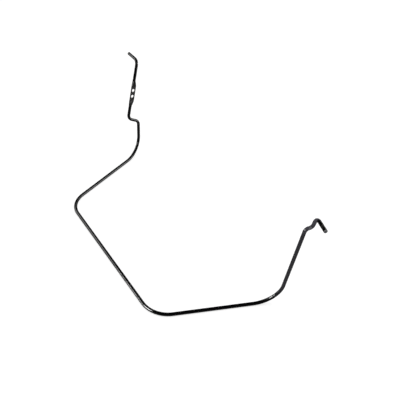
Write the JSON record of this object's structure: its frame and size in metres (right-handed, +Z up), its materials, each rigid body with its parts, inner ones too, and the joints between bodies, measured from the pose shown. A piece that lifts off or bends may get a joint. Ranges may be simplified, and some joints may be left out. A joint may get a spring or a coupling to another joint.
{
  "type": "auger bail",
  "caption": "Bent steel rod hand lever with out-turned pivot pins, upright arms, a flared flat grip with a straight crossbar, and a pressed paddle with cable holes.",
  "frame": {"origin": "on the floor that the grip lies on, midway between the two pin corners and at the middle of the depth", "axes": "+X along the pivot axis towards the right pin, +Y from the crossbar towards the arms, +Z up"},
  "size_m": [0.6271, 0.228, 0.2142],
  "materials": {
    "gloss_black_paint": "gloss black paint over steel rod"
  },
  "bodies": {
    "root": {"auger_bail": "gloss_black_paint"}
  },
  "joints": []
}
